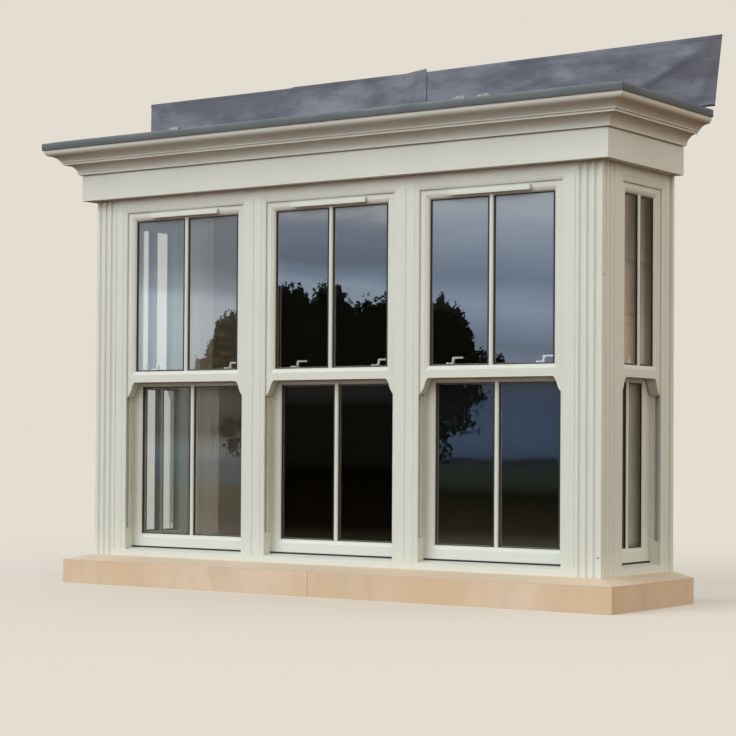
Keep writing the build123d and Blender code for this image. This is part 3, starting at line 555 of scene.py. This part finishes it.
# Plain tones of sky and ground over the height of each front pane, and tree lines along
# the front
FRONT_REFLECTIONS = {
    "front_left_upper_glass": landscape(
        [(0.90, 146, 154, 158), (1.02, 156, 165, 168), (1.10, 160, 168, 173), (1.20, 155, 163, 168),
         (1.26, 128, 136, 142), (1.34, 110, 116, 120), (1.42, 106, 112, 117), (1.56, 110, 116, 121)],
        0.47, line=[(-0.775, 0.90), (-0.750, 1.02), (-0.70, 1.045), (-0.672, 1.10), (-0.649, 1.125),
                    (-0.630, 1.19), (-0.585, 1.215), (-0.53, 1.225), (-0.48, 1.22)],
        leaf=((52, 47, 34), (88, 82, 62)), leaf_share=0.47, veil=(-0.655, 60, 58, 54),
        shade=(-0.80, 0.82, 0.91, 0.97)),
    "front_left_lower_glass": landscape(
        [(0.24, 84, 78, 68), (0.34, 76, 71, 58), (0.455, 80, 78, 64), (0.475, 80, 83, 82),
         (0.56, 84, 87, 87), (0.60, 100, 102, 100), (0.65, 92, 92, 88), (0.70, 68, 64, 55),
         (0.88, 80, 78, 68)],
        0.42, drift=0.0, veil=(-0.655, 78, 76, 69), shade=(-0.80, 0.48, 0.60, 0.68),
        lobes=[(-0.60, 0.715, 0.075, 0.055), (-0.565, 0.64, 0.05, 0.05), (-0.66, 0.70, 0.05, 0.03)],
        leaf=((52, 49, 40), (76, 74, 66)), leaf_share=0.42),
    "front_centre_upper_glass": landscape(
        [(1.22, 128, 142, 154), (1.33, 126, 141, 155), (1.375, 106, 120, 135), (1.43, 90, 101, 114),
         (1.50, 98, 108, 121), (1.56, 104, 115, 127), (1.60, 118, 126, 134), (1.64, 144, 150, 154)],
        0.55, line=[(-0.32, 1.34), (-0.17, 1.33), (-0.11, 1.28), (-0.06, 1.33), (0.0, 1.345),
                    (0.05, 1.31), (0.12, 1.24), (0.19, 1.27), (0.235, 1.25), (0.28, 1.27),
                    (0.32, 1.27)]),
    "front_centre_lower_glass": landscape(
        [(0.235, 34, 31, 22), (0.29, 9, 7, 4), (0.50, 3, 2, 0), (0.81, 4, 4, 1),
         (0.85, 24, 25, 23), (0.89, 34, 36, 34)],
        0.82, drift=0.0),
    "front_right_upper_glass": landscape(
        [(1.08, 106, 117, 130), (1.15, 98, 111, 126), (1.22, 114, 127, 143), (1.30, 126, 139, 155),
         (1.36, 117, 131, 147), (1.42, 104, 118, 134), (1.52, 120, 133, 148), (1.63, 136, 148, 161),
         (1.70, 152, 161, 169)],
        0.55, line=[(0.46, 1.20), (0.50, 1.21), (0.537, 1.240), (0.547, 1.275), (0.572, 1.272),
                    (0.583, 1.238), (0.62, 1.225), (0.654, 1.205), (0.689, 1.17), (0.709, 1.12),
                    (0.73, 1.04), (0.80, 1.02), (0.86, 1.015), (0.90, 0.90)]),
    "front_right_lower_glass": landscape(
        [(0.235, 60, 58, 48), (0.29, 32, 30, 21), (0.44, 15, 15, 8), (0.49, 31, 37, 29),
         (0.56, 33, 39, 38), (0.585, 37, 46, 53), (0.60, 47, 60, 74), (0.67, 54, 69, 87),
         (0.83, 56, 69, 87), (0.89, 76, 85, 98)],
        0.50, drift=0.0, leaf=((8, 10, 9), (28, 32, 31)), leaf_share=0.5,
        lobes=[(0.56, 0.83, 0.15, 0.11), (0.67, 0.85, 0.080, 0.055), (0.61, 0.735, 0.080, 0.055),
               (0.53, 0.70, 0.06, 0.08), (0.550, 0.63, 0.026, 0.06)],
        hills=[(0.48, 0.588), (0.56, 0.592), (0.64, 0.602), (0.72, 0.586), (0.85, 0.584),
               (0.96, 0.590), (1.00, 0.604), (1.04, 0.598), (1.08, 0.590), (1.12, 0.592)]),
}

# Painted reflection in the return glass: tones across it, from the front towards the back
UPPER_TONES = [(0.226, 120, 106, 90), (0.27, 100, 88, 74), (0.337, 46, 40, 30), (0.350, 46, 40, 30),
               (0.362, 112, 100, 86), (0.42, 60, 52, 42), (0.476, 40, 34, 24)]
LOWER_TONES = [(0.226, 146, 138, 124), (0.27, 104, 98, 88), (0.337, 36, 31, 26), (0.350, 36, 31, 26),
               (0.362, 150, 142, 128), (0.42, 104, 100, 90), (0.476, 34, 30, 24)]


slot_of = {part["node"]: part["material_slot"] for part in frame["record"]["subparts"]}


def finish_for(node):
    """Material of a carried-over solid, by its slot and, for glass, by its window."""
    kind = slot_of[node]
    return finishes[node if kind == "glass" else kind]


for node, reflection in FRONT_REFLECTIONS.items():
    finishes[node] = sealed_glass(node, 1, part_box(node)[0].y, reflection)
for sash, tones, lift in (("upper", UPPER_TONES, 2.2), ("lower", LOWER_TONES, 1.0)):
    for window, outside in (("side_left", 0), ("side_right", 1)):
        node = f"{window}_{sash}_glass"
        finishes[node] = sealed_glass(node, 0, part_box(node)[outside].x, stone_shades(tones, lift))

for node, solid in frame["nodes"].items():
    solid.data.materials.clear()
    solid.data.materials.append(finish_for(node))


# New pieces

def placed(name, data):
    """New object in the scene around a mesh, a lamp or a camera."""
    made = bpy.data.objects.new(name, data)
    bpy.context.scene.collection.objects.link(made)
    return made


def piece(name, points, quads, body, finish, caps=()):
    """Mesh object from an array of points, an array of quads and a few caps with more
    corners, riding on a body."""
    mesh = bpy.data.meshes.new(name)
    faces = np.asarray(quads).tolist() + [cap.tolist() for cap in caps]
    mesh.from_pydata(np.asarray(points, float).tolist(), [], faces)
    mesh.validate()
    mesh.materials.append(finish)
    made = placed(name, mesh)
    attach(made, body)
    return made


def ring_mesh(rings):
    """Rectangular rings of square section.  Each ring is (left, right, low, high, width at
    the sides, width at the ends, front, back); its corners are the rectangle shrunk by 0
    and by those widths, at the front and at the back, and quads join corner to next
    corner round the section."""
    signs = np.array([[-1, -1], [1, -1], [1, 1], [-1, 1]], float)
    points, faces = [], []
    for left, right, low, high, width, end_width, front, back in rings:
        middle = np.array([(left + right) / 2, (low + high) / 2])
        half = np.array([(right - left) / 2, (high - low) / 2])
        inset = np.array([0, 1, 1, 0])[:, None] * np.array([width, end_width])
        depth = np.array([front, front, back, back])
        corner, step = np.meshgrid(np.arange(4), np.arange(4), indexing="ij")
        flat = middle + signs[corner] * (half - inset[step])
        block = np.stack([flat[..., 0], depth[step], flat[..., 1]], -1).reshape(-1, 3)
        base = len(points) * 16
        k, s = corner.ravel(), step.ravel()
        following, after = (k + 1) % 4, (s + 1) % 4
        quads = np.stack([k * 4 + s, following * 4 + s, following * 4 + after, k * 4 + after], -1)
        points.append(block)
        faces.append(quads + base)
    return np.concatenate(points), np.concatenate(faces)


def box_mesh(boxes):
    """Closed boxes, each (x, y, z low corner, x, y, z high corner): the eight corners of
    each and its six faces turned outwards."""
    boxes = np.asarray(boxes, float).reshape(-1, 2, 3)
    pick = np.array([[0, 0, 0], [1, 0, 0], [1, 1, 0], [0, 1, 0],
                     [0, 0, 1], [1, 0, 1], [1, 1, 1], [0, 1, 1]])
    points = np.take_along_axis(boxes, pick[None], axis=1)
    sides = np.array([[0, 3, 2, 1], [4, 5, 6, 7], [0, 1, 5, 4], [1, 2, 6, 5], [2, 3, 7, 6], [3, 0, 4, 7]])
    faces = sides[None] + 8 * np.arange(len(boxes))[:, None, None]
    return points.reshape(-1, 3), faces.reshape(-1, 4)


cad_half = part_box("side_right_frame")[1].x


def seen_square(window, low, high):
    """Box of a node as its window sees it: left, right, outer and inner, foot and top."""
    if window.startswith("front"):
        return low.x, high.x, low.y, high.y, low.z, high.z
    if window == "side_right":
        return low.y, high.y, cad_half - high.x, cad_half - low.x, low.z, high.z
    return low.y, high.y, low.x + cad_half, high.x + cad_half, low.z, high.z


def to_side(window, points):
    """Window points (across, depth from its outer face line, height) set on its side of
    the bay."""
    x, y, z = np.asarray(points).T
    if window.startswith("front"):
        return np.stack([x, y, z], -1)
    if window == "side_right":
        return np.stack([cad_half - y, x, z], -1)
    return np.stack([-cad_half + y, x, z], -1)


for window in FRONT_WINDOWS + SIDE_WINDOWS:
    for sash in ("upper", "lower"):
        left, right, outer, inner, foot, top = seen_square(window, *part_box(f"{window}_{sash}_glass"))
        left, right = left + GLASS_COVER, right - GLASS_COVER
        foot, top = foot + GLASS_COVER, top - GLASS_COVER
        middle = (left + right) / 2
        panes = ((left, middle - BAR_WIDTH / 2), (middle + BAR_WIDTH / 2, right))
        seals, spacers = [], []
        for pane in panes:
            seals.append((*pane, foot, top, GASKET_WIDTH, GASKET_END, outer - GASKET_STAND, outer))
            seals.append((*pane, foot, top, GASKET_END, GASKET_END, inner, inner + GASKET_STAND))
            spacers.append((pane[0] + GASKET_WIDTH, pane[1] - GASKET_WIDTH, foot + GASKET_END,
                            top - GASKET_END, SPACER_WIDTH, SPACER_WIDTH, outer - SPACER_STAND, outer))
        points, faces = ring_mesh(seals)
        if sash == "lower":
            left, right, face, _, foot, _ = seen_square(window, *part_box(f"{window}_{sash}_sash"))
            # Black strip of painted shade at the foot of the lower sash, standing for the dark gap under it
            shade_strip, shade_strip_faces = box_mesh([
                [(left + RAIL_SHADE_STRIP_INSET, face - RAIL_SHADE_STRIP_STAND, foot),
                 (right - RAIL_SHADE_STRIP_INSET, face + RAIL_SHADE_STRIP_SINK, foot + RAIL_SHADE_STRIP_HEIGHT)]])
            faces = np.concatenate([faces, shade_strip_faces + len(points)])
            points = np.concatenate([points, shade_strip])
        turn = -1 if window == "side_left" else 1     # its points are mirrored, so its faces turn
        piece(f"{window}_{sash}_gaskets", to_side(window, points), faces[:, ::turn],
              f"{window}_{sash}", finishes["seal_and_shade"])
        points, faces = ring_mesh(spacers)
        piece(f"{window}_{sash}_spacers", to_side(window, points), faces[:, ::turn],
              f"{window}_{sash}", finishes["spacer"])


# Lead, clips, mortar and small holes

def fold_depth(x, height, folds):
    """Dents of hand-dressed lead: each fold (x, height, angle, half width, half length,
    depth) is a bell across its line times a bell along it, and slow waves lie under all."""
    total = 0.0014 * (1 + np.sin(5.1 * x + 9.0 * height) * np.sin(2.3 * x - 14.0 * height + 1.0))
    total = total + 0.0008 * (1 + np.sin(17.0 * x + 4.0 * height + 2.0) * np.sin(31.0 * height + 6.0 * x))
    for at_x, at_height, angle, width, length, depth in folds:
        along = np.cos(angle) * (x - at_x) + np.sin(angle) * (height - at_height)
        across = -np.sin(angle) * (x - at_x) + np.cos(angle) * (height - at_height)
        total = total + depth * np.exp(-(across / width) ** 2 - (along / length) ** 2)
    return total


def lead_sheet(first, last, foot_last, flap_first, flap_last, back, deck, folds):
    """Closed sheet of lead bent from the roof up its back, with a hem at the top.  The
    section runs round the flap, the upstand and the hem; every point of it is swept along
    the front in even steps between the sheet's ends, and pushed off the back by the folds
    where it stands and off the roof where it lies.  The top rises a little to the right."""
    thick, height, bend = LEAD_THICK, LEAD_HEIGHT, LEAD_BEND
    rise = np.linspace(bend + thick, height - LEAD_HEM, 34)
    run = np.linspace(bend + thick, LEAD_FLAP, 9)
    turn = np.linspace(0, np.pi / 2, 5)
    front = np.stack([thick + bend * (1 - np.sin(turn)), thick + bend * (1 - np.cos(turn))], -1)
    section = np.concatenate([
        np.stack([run[::-1], np.full_like(run, thick)], -1), front[1:-1],
        np.stack([np.full_like(rise, thick), rise], -1),
        [[1.3 * thick, height - LEAD_HEM], [1.3 * thick, height], [0.0, height]],
        np.stack([np.zeros_like(rise), rise[::-1]], -1), [[0.0, 0.0]],
        np.stack([run, np.zeros_like(run)], -1),
    ])
    columns = max(int((last - first) / LEAD_STEP), 2)
    share = np.linspace(0, 1, columns)[:, None]
    off_back, up = section[None, :, 0], section[None, :, 1]
    ends_high = last - (last - foot_last) * (1 - np.clip(up / height, 0, 1))
    x = first + share * (ends_high - first)
    lying = up <= thick + 1e-9
    flap_x = np.clip(x, flap_first, flap_last)
    x = np.where(lying & (off_back > thick), flap_x, x)
    dents = fold_depth(x, up, folds)
    standing = np.clip((up - thick - bend) / 0.03, 0, 1)
    flat = np.clip((off_back - thick - bend) / 0.03, 0, 1) * lying
    y = back - off_back - dents * standing
    z = deck + up + 0.4 * dents * flat + LEAD_RISE * np.clip(x / last, 0, 1) * (x > 0) * up / height
    points = np.stack([x, y, z], -1).reshape(-1, 3)
    count = section.shape[0]
    i, j = np.meshgrid(np.arange(columns - 1), np.arange(count), indexing="ij")
    a, b = i * count + j, i * count + (j + 1) % count
    quads = np.stack([a, b, b + count, a + count], -1).reshape(-1, 4)
    return points, quads, [np.arange(count), np.arange((columns - 1) * count, columns * count)[::-1]]


lead_low, lead_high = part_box("lead_flashing")
roof_low, roof_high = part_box("roof_covering")
FOLDS = [(1.29, 0.155, 0.39, 0.020, 0.13, 0.0060), (1.10, 0.09, 0.30, 0.03, 0.10, 0.0040),
         (1.47, 0.10, 1.2, 0.03, 0.10, 0.0050), (-0.93, 0.19, 0.10, 0.05, 0.16, 0.0045),
         (-1.25, 0.13, -0.15, 0.04, 0.12, 0.0035), (0.02, 0.20, 1.4, 0.022, 0.12, 0.0060),
         (0.42, 0.12, 0.2, 0.04, 0.14, 0.0040), (0.80, 0.17, -0.2, 0.03, 0.12, 0.0045),
         (-0.30, 0.12, 0.25, 0.05, 0.16, 0.0035), (-0.66, 0.15, 1.5, 0.025, 0.12, 0.0050),
         (1.40, 0.22, 0.2, 0.02, 0.10, 0.0040)]
flap_end = min(-roof_low.x, roof_high.x) - LEAD_RUN
sheets = [
    (lead_low.x, LAP_LEFT + HALF_LAP, LAP_LEFT + HALF_LAP, 0.0),
    (LAP_LEFT - HALF_LAP, LAP_RIGHT + HALF_LAP, LAP_RIGHT + HALF_LAP, LEAD_LIFT),
    (LAP_RIGHT - HALF_LAP, lead_high.x, lead_high.x - LEAD_SLANT, 0.0),
]
blocks, quads, caps, offset = [], [], [], 0
for first, last, foot_last, lift in sheets:
    block, sides, ends = lead_sheet(first, last, foot_last, -flap_end, flap_end,
                                    cad_high.y - lift, roof_high.z + lift, FOLDS)
    blocks.append(block)
    quads.append(sides + offset)
    caps += [end + offset for end in ends]
    offset += len(block)
dressed = piece("lead_dressed", np.concatenate(blocks), np.concatenate(quads), "bay",
                finishes["lead"], caps)
dressed.data.polygons.foreach_set("use_smooth", np.ones(len(dressed.data.polygons), bool))
dressed.data.set_sharp_from_angle(angle=0.7)
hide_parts("lead_flashing")

points, faces = box_mesh([CLIP_BOXES + (x, roof_low.y, roof_high.z) for x in CLIP_PLACES])
piece("drip_clips", points, faces, "bay", finishes["clip"])

joint_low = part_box("sill_stone_left")[1].x
stone_low, stone_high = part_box("sill_stone_right")
nose, foot, top = stone_low.y + MORTAR_NOSE_SINK, MORTAR_SINK, stone_high.z - MORTAR_SINK
section = np.array([[nose, foot], [MORTAR_BACK, foot], [MORTAR_BACK, top], [SLOPE_START, top],
                    [nose, stone_high.z - SLOPE_FALL]])
points = np.concatenate([np.insert(section, 0, x, axis=1) for x in (joint_low, stone_low.x)])
count = len(section)
k = np.arange(count)
after = np.roll(k, -1)
sides = np.stack([k, after, after + count, k + count], -1)
piece("joint_mortar", points, sides, "bay", finishes["mortar"], [k[::-1], k + count])


def disc_mesh(centres, radius, stand, count):
    """Closed round studs standing on the face at their centre, turned to +x or -y: a ring
    of points at the face, the same ring at the stand, and two caps."""
    turn = np.linspace(0, 2 * np.pi, count, endpoint=False)
    ring = radius * np.stack([np.cos(turn), np.sin(turn)], -1)
    blocks, quads, caps = [], [], []
    for number, (x, y, z, towards_x) in enumerate(centres):
        if towards_x:
            flat = np.stack([np.full(count, x), y + ring[:, 0], z + ring[:, 1]], -1)
            step = np.array([stand, 0, 0])
        else:
            flat = np.stack([x + ring[:, 0], np.full(count, y), z + ring[:, 1]], -1)
            step = np.array([0, -stand, 0])
        blocks += [flat, flat + step]
        k = np.arange(count) + 2 * count * number
        after = np.roll(k, -1)
        quads.append(np.stack([k, after, after + count, k + count], -1))
        caps += [k[::-1], k + count]
    return np.concatenate(blocks), np.concatenate(quads), caps


# One hole on the side of the right corner post, one at the foot of its front, each a black disc of painted
# shade
holes = [(cad_half, 0.016, 1.317, True), (cad_half - 0.013, 0.0, 0.208, False)]
points, quads, caps = disc_mesh(holes, HOLE_RADIUS, HOLE_STAND, HOLE_SIDES)
piece("fixing_holes", points, quads, "bay", finishes["seal_and_shade"], caps)


# Camera at the photograph's viewing angle

def camera_axes(yaw, pitch, roll):
    """Right, up and back directions of a camera turned by three angles in degrees."""
    yaw, pitch, roll = np.radians([yaw, pitch, roll])
    ahead = np.array([-np.sin(yaw) * np.cos(pitch), np.cos(yaw) * np.cos(pitch), np.sin(pitch)])
    level = np.array([np.cos(yaw), np.sin(yaw), 0.0])
    upright = np.cross(level, ahead)
    right = np.cos(roll) * level + np.sin(roll) * upright
    up = -np.sin(roll) * level + np.cos(roll) * upright
    return right, up, -ahead


def aimed(axes, place):
    """Matrix of a camera or lamp from its right, up and back directions and its place."""
    matrix = np.eye(4)
    matrix[:3, :3] = np.stack(axes, -1)
    matrix[:3, 3] = place
    return Matrix(matrix.tolist())


lens = bpy.data.cameras.new("eye")
lens.sensor_width = 36.0
lens.lens = FOCAL_PIXELS / FRAME_PIXELS * lens.sensor_width
lens.shift_y = (HORIZON_ROW - FRAME_PIXELS / 2) / FRAME_PIXELS
eye = placed("eye", lens)
eye.matrix_world = aimed(camera_axes(*EYE_TURN), EYE_PLACE)
bpy.context.scene.camera = eye


# Studio

def studio_floor():
    """Pale floor to the camera, lifted so that it runs into the backdrop; to the light
    that it throws back on the object it is a warm, darker ground."""
    made, tree, shader = material("studio_floor")
    seen = put(tree, "ShaderNodeLightPath").outputs["Is Camera Ray"]
    tree.links.new(blended(tree, seen, FLOOR_BOUNCE, FLOOR_SEEN), shader.inputs["Base Color"])
    shader.inputs["Roughness"].default_value = 0.9
    shader.inputs["Specular IOR Level"].default_value = 0.0
    lift = put(tree, "ShaderNodeEmission", {"Color": FLOOR_GLOW})
    tree.links.new(calc(tree, "MULTIPLY", seen, 0.12), lift.inputs["Strength"])
    both = put(tree, "ShaderNodeAddShader", {0: shader.outputs[0], 1: lift.outputs[0]})
    tree.links.new(both.outputs[0], tree.nodes["Material Output"].inputs["Surface"])
    return made


def inner_dark():
    """Painted shade of the unlit inside of the bay: black to rays that came in through the sheets of a
    window, clear to all others, so that the inside can be looked at from behind."""
    made, tree, shader = material("room_dark")
    through = calc(tree, "GREATER_THAN", put(tree, "ShaderNodeLightPath").outputs["Transparent Depth"], 2.5)
    behind = put(tree, "ShaderNodeNewGeometry").outputs["Backfacing"]
    dark = calc(tree, "MULTIPLY", through, calc(tree, "SUBTRACT", 1.0, behind))
    shader.inputs["Base Color"].default_value = INSIDE_DARK
    shader.inputs["Roughness"].default_value = 1.0
    shader.inputs["Specular IOR Level"].default_value = 0.0
    clear = put(tree, "ShaderNodeBsdfTransparent")
    both = put(tree, "ShaderNodeMixShader", {0: dark, 1: clear.outputs[0], 2: shader.outputs[0]})
    tree.links.new(both.outputs[0], tree.nodes["Material Output"].inputs["Surface"])
    return made


def sheet(name, corners, finish):
    """One flat face between four corners."""
    mesh = bpy.data.meshes.new(name)
    mesh.from_pydata(corners, [], [(0, 1, 2, 3)])
    mesh.materials.append(finish)
    return placed(name, mesh)


floor = sheet("floor", [(-FLOOR_REACH, -FLOOR_REACH, 0), (FLOOR_REACH, -FLOOR_REACH, 0),
                        (FLOOR_REACH, FLOOR_REACH, 0), (-FLOOR_REACH, FLOOR_REACH, 0)], studio_floor())
floor.location.z = -FLOOR_DROP

panel_y = cad_high.y + PANEL_GAP
room = sheet("room", [(-PANEL_HALF, panel_y, PANEL_LOW), (PANEL_HALF, panel_y, PANEL_LOW),
                      (PANEL_HALF, panel_y, PANEL_HIGH), (-PANEL_HALF, panel_y, PANEL_HIGH)], inner_dark())

world = bpy.data.worlds.new("studio")
world.use_nodes = True
bpy.context.scene.world = world
air = world.node_tree
path = put(air, "ShaderNodeLightPath")
seen = calc(air, "ADD", path.outputs["Is Camera Ray"], path.outputs["Is Glossy Ray"])
seen = calc(air, "ADD", seen, path.outputs["Is Transmission Ray"], clamp=True)
backdrop = blended(air, seen, AIR_LIGHT, BACKDROP)
air.links.new(backdrop, air.nodes["Background"].inputs["Color"])


def sun(name, strength, tint, direction, angle):
    """Broad soft sun aimed along a direction, given from the lamp to the object."""
    light = bpy.data.lights.new(name, "SUN")
    light.energy = strength
    light.color = tint
    light.angle = angle
    ahead = np.array(direction, float)
    ahead /= np.linalg.norm(ahead)
    side = np.cross(ahead, (0, 0, 1))
    side /= np.linalg.norm(side)
    made = placed(name, light)
    made.matrix_world = aimed([side, np.cross(side, ahead), -ahead], -LAMP_DISTANCE * ahead)


sun("key", 1.62, (1.0, 0.985, 0.96), (0.55, 1.0, -0.64), angle=0.9)
sun("fill", 0.90, (1.0, 0.70, 0.38), (-1.0, 0.30, -0.45), angle=1.2)

bpy.context.scene.view_settings.view_transform = "Standard"
